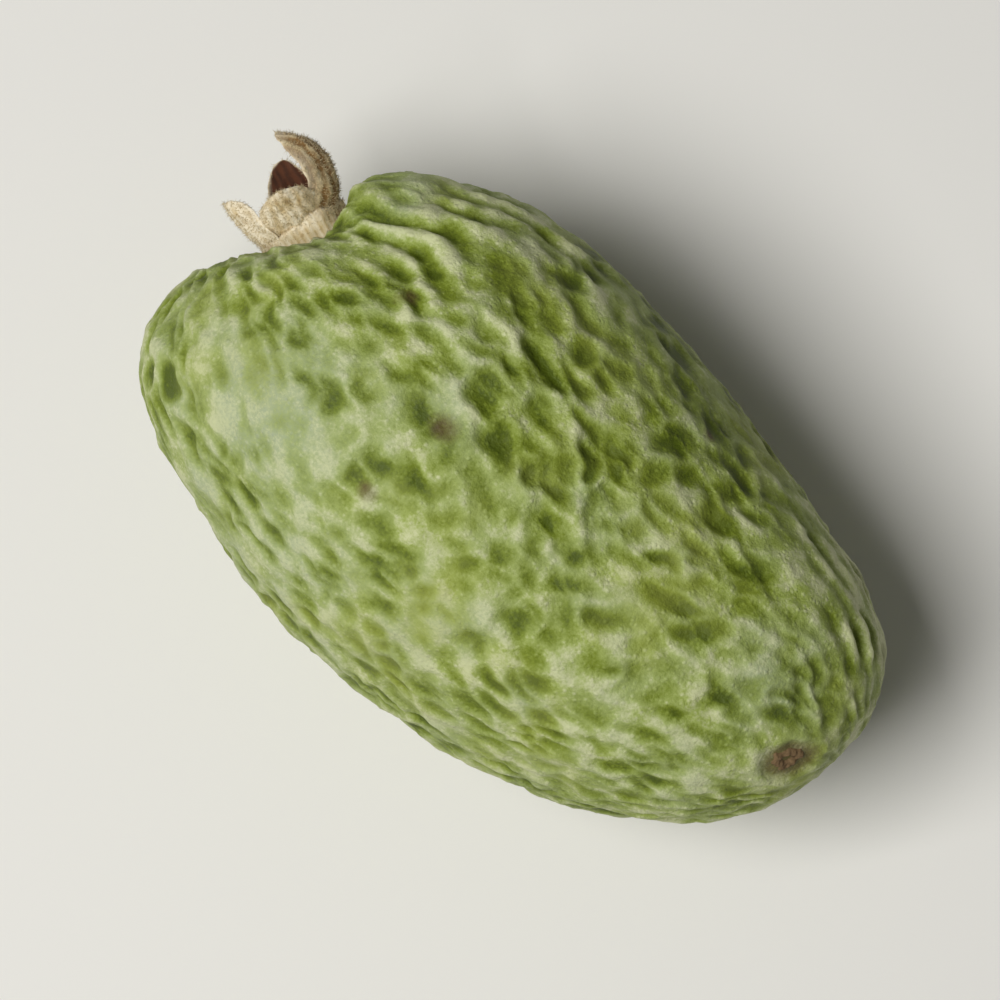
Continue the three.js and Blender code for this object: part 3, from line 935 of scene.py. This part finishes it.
def skin_material(colours):
    """Waxy fruit skin, grown: the eye sees a pale grey-green bloom rubbed on to the ridges, and green pits.

    Lime patches are 9 mm across, the mottling 1.7 mm, the grains 0.3 mm, and oil glands 0.6 mm apart. Real
    grains and glands are about half as large, and are drawn coarser so that they show.
    """
    material, tree = new_material("waxy_feijoa_skin")
    place = add(tree, "ShaderNodeTexCoord").outputs["Object"]
    hollow, bloom, felt, marks_and_shade = (
        add(tree, "ShaderNodeAttribute", attribute_name=name).outputs["Fac"]
        for name in ("hollow", "bloom", "felt", "marks_and_shade")
    )
    broad, mottle, grain = (
        add(
            tree,
            "ShaderNodeTexNoise",
            {"Vector": place, "Scale": 1 / (size * MM), "Detail": detail, "Roughness": roughness},
        ).outputs["Fac"]
        for size, detail, roughness in ((9.1, 2, 0.5), (1.67, 4, 0.6), (0.294, 4, 0.7))
    )
    gland = add(
        tree, "ShaderNodeTexVoronoi", {"Vector": place, "Scale": 1 / (0.588 * MM), "Randomness": 0.9}
    )
    dot = add(
        tree, "ShaderNodeMapRange", {"Value": gland.outputs["Distance"], "From Min": 0.36, "From Max": 0.12}
    ).outputs[0]

    # How green: the hollows and the greener patches, some of them painted shade on the side away from the
    # key, mottled and grainy, and a little paler on the glands
    grainy = hollow
    for noise, amount in ((mottle, 0.75), (grain, 0.7)):
        level = add(tree, "ShaderNodeMath", {0: noise, 1: 0.5}, operation="SUBTRACT").outputs[0]
        uneven = {0: level, 1: amount, 2: grainy}
        grainy = add(tree, "ShaderNodeMath", uneven, operation="MULTIPLY_ADD").outputs[0]
    shade = add(tree, "ShaderNodeMath", {0: dot, 1: -0.13, 2: grainy}, operation="MULTIPLY_ADD").outputs[0]
    stops = [(0.0, colours.ridge), (0.95, colours.pit)]
    stops += [(0.3, colours.flesh_green), (0.6, colours.leaf_green)]
    colour = add(tree, "ShaderNodeValToRGB", {"Fac": shade}, stops=stops).outputs["Color"]

    # What lies over the green: lime in patches, bloom on the ridges with painted light on the side facing
    # the key and painted shade on the far side, down at the crown, and healed marks with the cork stain
    # round the stem scar, which holds painted shade as well
    limes = add(
        tree, "ShaderNodeMapRange", {"Value": broad, "From Min": 0.5, "From Max": 0.75, "To Max": 0.5}
    ).outputs[0]
    raised = add(
        tree, "ShaderNodeMapRange", {"Value": shade, "From Min": 0.75, "From Max": 0.1, "To Min": 0.12}
    ).outputs[0]
    patchy = add(
        tree,
        "ShaderNodeMapRange",
        {"Value": grain, "From Min": 0.4, "From Max": 0.62, "To Min": 0.4, "To Max": 1.1},
    ).outputs[0]
    rubbed = add(tree, "ShaderNodeMath", {0: bloom, 1: raised}, operation="MULTIPLY").outputs[0]
    bloom_and_painted_light, downy = (
        add(tree, "ShaderNodeMath", {0: amount, 1: patchy}, operation="MULTIPLY").outputs[0]
        for amount in (rubbed, felt)
    )
    # Brown of the healed marks, and of the cork stain with its painted shade round the stem scar
    ragged = add(tree, "ShaderNodeMath", {0: grainy, 1: marks_and_shade, 2: marks_and_shade}, operation="MULTIPLY_ADD").outputs[0]
    corky = add(
        tree, "ShaderNodeMapRange", {"Value": ragged, "From Min": 0.3, "From Max": 0.75, "To Max": 0.7}
    ).outputs[0]
    layers = [(limes, colours.lime), (bloom_and_painted_light, colours.bloom), (downy, colours.down), (corky, colours.marks_and_shade)]
    for amount, over in layers:
        colour = add(
            tree,
            "ShaderNodeMix",
            {FACTOR: amount, FIRST_COLOUR: colour, SECOND_COLOUR: opaque(over)},
            data_type="RGBA",
        ).outputs[MIXED_COLOUR]

    rough = add(tree, "ShaderNodeMapRange", {"Value": bloom_and_painted_light, "To Min": 0.5, "To Max": 0.78}).outputs[0]
    fine = add(tree, "ShaderNodeMath", {0: grain, 1: mottle}, operation="ADD").outputs[0]
    beaded = add(tree, "ShaderNodeMath", {0: dot, 1: 0.35, 2: fine}, operation="MULTIPLY_ADD").outputs[0]
    bump = add(tree, "ShaderNodeBump", {"Height": beaded, "Strength": 1.0, "Distance": 0.11 * MM})
    shader = add(
        tree,
        "ShaderNodeBsdfPrincipled",
        {
            "Base Color": colour,
            "Roughness": rough,
            "Normal": bump.outputs["Normal"],
            "Specular IOR Level": 0.25,
            "IOR": 1.45,
        },
    )
    add(tree, "ShaderNodeOutputMaterial", {"Surface": shader.outputs[0]})
    return material


def sepal_material(colours):
    """Dry leaf tissue under a felt of short hairs: matt tan outside, and bare, darker red-brown inside.

    Its blotches are 1.4 mm across, and its fibres 0.24 mm, which is about twice as coarse as real ones.
    """
    material, tree = new_material("dry_felted_sepal")
    place = add(tree, "ShaderNodeTexCoord").outputs["Object"]
    inside, vein, rim = (
        add(tree, "ShaderNodeAttribute", attribute_name=name).outputs["Fac"]
        for name in ("inside", "vein", "rim")
    )
    blotch, fibre = (
        add(
            tree,
            "ShaderNodeTexNoise",
            {"Vector": place, "Scale": 1 / (size * MM), "Detail": detail, "Roughness": roughness},
        ).outputs["Fac"]
        for size, detail, roughness in ((1.43, 4, 0.6), (0.238, 3, 0.5))
    )
    worn = add(tree, "ShaderNodeMath", {0: vein, 1: 0.25, 2: blotch}, operation="MULTIPLY_ADD").outputs[0]
    edged = add(tree, "ShaderNodeMath", {0: rim, 1: 0.55}, operation="MULTIPLY").outputs[0]
    outer_stops = [(0.35, colours.sepal_brown), (0.85, colours.sepal_pale), (0.55, colours.sepal_tan)]
    inner_stops = [(0.35, colours.inside_dark), (0.8, colours.inside_red)]
    colour, inner = (
        add(tree, "ShaderNodeValToRGB", {"Fac": worn}, stops=stops).outputs["Color"]
        for stops in (outer_stops, inner_stops)
    )
    for amount, over in ((edged, opaque(colours.sepal_pale)), (inside, inner)):
        colour = add(
            tree,
            "ShaderNodeMix",
            {FACTOR: amount, FIRST_COLOUR: colour, SECOND_COLOUR: over},
            data_type="RGBA",
        ).outputs[MIXED_COLOUR]
    bump = add(tree, "ShaderNodeBump", {"Height": fibre, "Strength": 0.6, "Distance": 0.08 * MM})
    shader = add(
        tree,
        "ShaderNodeBsdfPrincipled",
        {
            "Base Color": colour,
            "Roughness": 0.9,
            "Normal": bump.outputs["Normal"],
            "Specular IOR Level": 0.2,
            "Sheen Weight": 0.12,
            "Sheen Roughness": 0.6,
        },
    )
    add(tree, "ShaderNodeOutputMaterial", {"Surface": shader.outputs[0]})
    return material


def dry_material(name, dark, light, grain_size, roughness, depth):
    """Dry plant tissue, such as cork, a withered style or a hair: matt, in grains of two browns.

    The size of the grains and the depth of their relief are in mm.
    """
    material, tree = new_material(name)
    place = add(tree, "ShaderNodeTexCoord").outputs["Object"]
    grain = add(
        tree,
        "ShaderNodeTexNoise",
        {"Vector": place, "Scale": 1 / (grain_size * MM), "Detail": 4, "Roughness": 0.65},
    ).outputs["Fac"]
    colour = add(tree, "ShaderNodeValToRGB", {"Fac": grain}, stops=[(0.3, dark), (0.7, light)])
    bump = add(tree, "ShaderNodeBump", {"Height": grain, "Strength": 0.7, "Distance": depth * MM})
    shader = add(
        tree,
        "ShaderNodeBsdfPrincipled",
        {
            "Base Color": colour.outputs["Color"],
            "Roughness": roughness,
            "Normal": bump.outputs["Normal"],
            "Specular IOR Level": 0.25,
        },
    )
    add(tree, "ShaderNodeOutputMaterial", {"Surface": shader.outputs[0]})
    return material


# ---------------------------------------------------------------- settings


def colour_property(name, description, hex_colour):
    """A colour setting whose default is an sRGB hex."""
    default = linear(hex_colour)
    return FloatVectorProperty(
        name=name, description=description, subtype="COLOR", size=3, min=0, max=1, default=default
    )


def length_property(name, description, size):
    """A length setting whose default is given in mm."""
    return FloatProperty(
        name=name, description=description, unit="LENGTH", precision=5, min=0, default=size * MM
    )


def angle_property(name, description, degrees):
    """An angle setting whose default is given in degrees."""
    return FloatProperty(
        name=name, description=description, unit="ROTATION", precision=4, default=math.radians(degrees)
    )


class FeijoaSkin(bpy.types.PropertyGroup):
    """Relief and colours of the skin."""

    pit_depth: length_property("Pit depth", "Depth of the large pits", 0.6)
    small_depth: length_property("Small pit depth", "Depth of the small pits", 0.42)
    ridge: colour_property("Ridges", "Pale green of the raised net", "#C9CD9C")
    flesh_green: colour_property("Slopes", "Green of the sides of the pits", "#9CAA5A")
    leaf_green: colour_property("Lower slopes", "Green near the bottom of the pits", "#788728")
    pit: colour_property("Pits", "Dark green at the bottom of the pits", "#4E5C0E")
    lime: colour_property("Lime", "Yellower green in broad patches", "#A4AC4C")
    bloom: colour_property("Bloom", "Blue-grey wax bloom", "#A4AF8E")
    down: colour_property("Down", "Pale down round the crown", "#C3C7A6")
    marks_and_shade: colour_property("Marks", "Brown of healed marks", "#5C4030")


class FeijoaCrown(bpy.types.PropertyGroup):
    """Felt and colours of the crown and of the stem scar."""

    felt_length: length_property("Felt length", "Length of the hairs", 0.42)
    felt_width: length_property("Felt width", "Width of the hairs' feet", 0.05)
    felt_hairs: IntProperty(name="Hairs", description="Number of hairs on the sepals", default=7000, min=0)
    sepal_tan: colour_property("Sepal", "Tan of the sepals' outer side", "#CDB88C")
    sepal_pale: colour_property("Sepal rim", "Pale pinkish tan of the rims", "#ECE0C6")
    sepal_brown: colour_property("Sepal blotches", "Brown where the felt is worn", "#916D3A")
    inside_red: colour_property("Sepal inside", "Red-brown of the inner side", "#54301C")
    inside_dark: colour_property("Sepal inside, dark", "Dark brown of the inner side", "#2A170C")
    stamen_red: colour_property("Stamens", "Red-brown of the stamens' stubs", "#84402C")
    style_brown: colour_property("Style", "Brown of the style", "#7A5236")
    hair: colour_property("Hairs", "Cream of the hairs", "#DCCCA4")
    cork: colour_property("Cork", "Light brown of the stem scar", "#8A7150")
    cork_dark: colour_property("Cork, dark", "Dark brown of the stem scar", "#5A462E")


class FeijoaStage(bpy.types.PropertyGroup):
    """Floor, light and camera."""

    floor_colour: colour_property("Floor", "Colour of the paper that it lies on", "#ECEAE4")
    floor_size: length_property("Floor size", "Side of the floor", 6000)
    key_power: FloatProperty(name="Key", description="Power of the main light", default=4.7, unit="POWER")
    fill: FloatProperty(name="Fill", description="Strength of the light from all round", default=0.1, min=0)
    fill_colour: colour_property("Fill colour", "Colour of the light from all round", "#FFFEFC")
    azimuth: angle_property("Azimuth", "Way in which the camera stands", 226)
    elevation: angle_property("Elevation", "How high the camera stands", 83)
    lens: FloatProperty(name="Lens", description="Focal length", unit="CAMERA", default=200, min=1)
    shown: length_property("Frame", "Width of what the camera shows", 76)


# ---------------------------------------------------------------- stage


def paper_material(stage):
    """Matt paper, pressed smooth: a plain pale ground without any gloss, that shows soft shadows."""
    material, tree = new_material("matt_paper")
    shader = add(
        tree,
        "ShaderNodeBsdfPrincipled",
        {"Base Color": opaque(stage.floor_colour), "Roughness": 0.95, "Specular IOR Level": 0.1},
    )
    add(tree, "ShaderNodeOutputMaterial", {"Surface": shader.outputs[0]})
    return material


def stand(thing, centre, azimuth, elevation, distance):
    """Stands a camera or lamp at centre + distance (sin a cos e, -cos a cos e, sin e), facing the centre."""
    level = math.cos(elevation)
    way = Vector((math.sin(azimuth) * level, -math.cos(azimuth) * level, math.sin(elevation)))
    thing.location = centre + way * distance
    thing.rotation_mode = "QUATERNION"
    thing.rotation_quaternion = (-way).to_track_quat("-Z", "Y")
    bpy.context.scene.collection.objects.link(thing)


# ---------------------------------------------------------------- operators


class FEIJOA_OT_skin(bpy.types.Operator):
    """Make the berry's skin"""

    bl_idname = "feijoa.skin"
    bl_label = "Skin"

    def execute(self, context):
        settings = context.scene.feijoa_skin
        piece = piece_of_grids("berry_skin", [skin_grid(settings)], skin_material(settings))
        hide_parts("fruit")
        return {"FINISHED"}


class FEIJOA_OT_stem_scar(bpy.types.Operator):
    """Make the corky scar at the stem end"""

    bl_idname = "feijoa.stem_scar"
    bl_label = "Stem scar"

    def execute(self, context):
        crown = context.scene.feijoa_crown
        material = dry_material("corky_stem_scar", crown.cork_dark, crown.cork, 0.5, 0.9, 0.1)
        piece = piece_of_grids("stem_scar", [stem_scar_grid()], material)
        return {"FINISHED"}


class FEIJOA_OT_calyx(bpy.types.Operator):
    """Make the collar and its four sepals"""

    bl_idname = "feijoa.calyx"
    bl_label = "Calyx"

    def execute(self, context):
        crown = context.scene.feijoa_crown
        material = sepal_material(crown)
        collar, fields = collar_grid()
        collar_piece = piece_of_grids("collar", [(stand_on_crown(collar), fields)], material)
        leaves = []
        for seed, sepal in enumerate(SEPALS):
            points, fields = sepal_grid(sepal, seed)
            leaves.append((stand_on_crown(points), fields))
        sepals = piece_of_grids("sepals", leaves, material)
        for piece in (collar_piece, sepals):
            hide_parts("calyx")
        return {"FINISHED"}


class FEIJOA_OT_style(bpy.types.Operator):
    """Make the stub of the style and the stubs of the stamens round it"""

    bl_idname = "feijoa.style"
    bl_label = "Style and stamens"

    def execute(self, context):
        crown = context.scene.feijoa_crown
        wood = dry_material("dry_style", crown.inside_dark, crown.style_brown, 0.4, 0.85, 0.05)
        points, fields = style_grid()
        style = piece_of_grids("style_stub", [(stand_on_crown(points), fields)], wood)
        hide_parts("style")
        threads = dry_material("dry_stamen", crown.inside_dark, crown.stamen_red, 0.3, 0.8, 0.03)
        stubs = [(stand_on_crown(points), fields) for points, fields in stamen_grids()]
        stamens = piece_of_grids("stamen_stubs", stubs, threads)
        return {"FINISHED"}


class FEIJOA_OT_felt(bpy.types.Operator):
    """Make the felt of short hairs on the outside of the sepals and the collar"""

    bl_idname = "feijoa.felt"
    bl_label = "Felt"

    def execute(self, context):
        crown = context.scene.feijoa_crown
        material = dry_material("felt_hair", crown.sepal_tan, crown.hair, 0.8, 0.9, 0.01)
        length, width = crown.felt_length / MM, crown.felt_width / MM
        per_sepal = crown.felt_hairs // len(SEPALS)
        tufts = []
        for seed, sepal in enumerate(SEPALS):
            points, fields = sepal_grid(sepal, seed)
            outside = 1 - fields["inside"]
            tufts.append(hairs(stand_on_crown(points), outside, per_sepal, length, width, 100 + seed))
        points, fields = collar_grid()
        outside = (1 - fields["inside"]) * (fields["rim"] + 0.15)
        tufts.append(hairs(stand_on_crown(points), outside, HAIRS["on_collar"], length, width, 110))
        piece = piece_of_spikes("felt", np.concatenate(tufts), material)
        return {"FINISHED"}


class FEIJOA_OT_stage(bpy.types.Operator):
    """Make the floor, the lights and the camera"""

    bl_idname = "feijoa.stage"
    bl_label = "Stage"

    def execute(self, context):
        stage = context.scene.feijoa_stage
        scene = context.scene
        half = stage.floor_size / 2
        corners = [(-half, -half, 0), (half, -half, 0), (half, half, 0), (-half, half, 0)]
        mesh = bpy.data.meshes.new("paper_floor")
        mesh.from_pydata(corners, [], [(0, 1, 2, 3)])
        mesh.materials.append(paper_material(stage))
        floor = bpy.data.objects.new("paper_floor", mesh)
        scene.collection.objects.link(floor)

        centre = (CAD_BOX[0] + CAD_BOX[1]) / 2
        camera = bpy.data.objects.new("camera", bpy.data.cameras.new("camera"))
        camera.data.lens = stage.lens
        camera.data.clip_start, camera.data.clip_end = CAMERA_CLIP
        distance = stage.shown * stage.lens / camera.data.sensor_width
        stand(camera, centre, stage.azimuth, stage.elevation, distance)
        scene.camera = camera

        key = bpy.data.objects.new("key", bpy.data.lights.new("key", "AREA"))
        key.data.size = KEY["size"]
        key.data.energy = stage.key_power
        leftward = stage.azimuth + math.radians(KEY["turn"] - 90)
        stand(key, centre, leftward, math.radians(KEY["height"]), KEY["distance"])

        world = bpy.data.worlds.new("studio")
        world.use_nodes = True
        background = world.node_tree.nodes["Background"]
        background.inputs["Color"].default_value = opaque(stage.fill_colour)
        background.inputs["Strength"].default_value = stage.fill
        scene.world = world
        scene.view_settings.view_transform = "Standard"
        return {"FINISHED"}


class FEIJOA_PT_looks(bpy.types.Panel):
    """Settings and operators of the feijoa"""

    bl_label = "Feijoa"
    bl_space_type = "VIEW_3D"
    bl_region_type = "UI"
    bl_category = "Feijoa"

    def draw(self, context):
        for name, operators in PANEL_ROWS:
            box = self.layout.box()
            settings = getattr(context.scene, name)
            for prop in settings.__annotations__:
                box.prop(settings, prop)
            for operator in operators:
                box.operator(operator.bl_idname)


PANEL_ROWS = [
    ("feijoa_skin", [FEIJOA_OT_skin]),
    ("feijoa_crown", [FEIJOA_OT_stem_scar, FEIJOA_OT_calyx, FEIJOA_OT_style, FEIJOA_OT_felt]),
    ("feijoa_stage", [FEIJOA_OT_stage]),
]
SETTINGS = {"feijoa_skin": FeijoaSkin, "feijoa_crown": FeijoaCrown, "feijoa_stage": FeijoaStage}
CLASSES = [
    FeijoaSkin,
    FeijoaCrown,
    FeijoaStage,
    FEIJOA_OT_skin,
    FEIJOA_OT_stem_scar,
    FEIJOA_OT_calyx,
    FEIJOA_OT_style,
    FEIJOA_OT_felt,
    FEIJOA_OT_stage,
    FEIJOA_PT_looks,
]


def register():
    """Registers the classes and hangs the settings on the scene."""
    for made in CLASSES:
        bpy.utils.register_class(made)
    for name, group in SETTINGS.items():
        setattr(bpy.types.Scene, name, PointerProperty(type=group))


def unregister():
    """Takes the settings and the classes away again."""
    for name in SETTINGS:
        delattr(bpy.types.Scene, name)
    for made in reversed(CLASSES):
        bpy.utils.unregister_class(made)


def main():
    """Makes every piece and the stage."""
    register()
    bpy.ops.feijoa.skin()
    bpy.ops.feijoa.stem_scar()
    bpy.ops.feijoa.calyx()
    bpy.ops.feijoa.style()
    bpy.ops.feijoa.felt()
    bpy.ops.feijoa.stage()


if __name__ == "__main__":
    main()
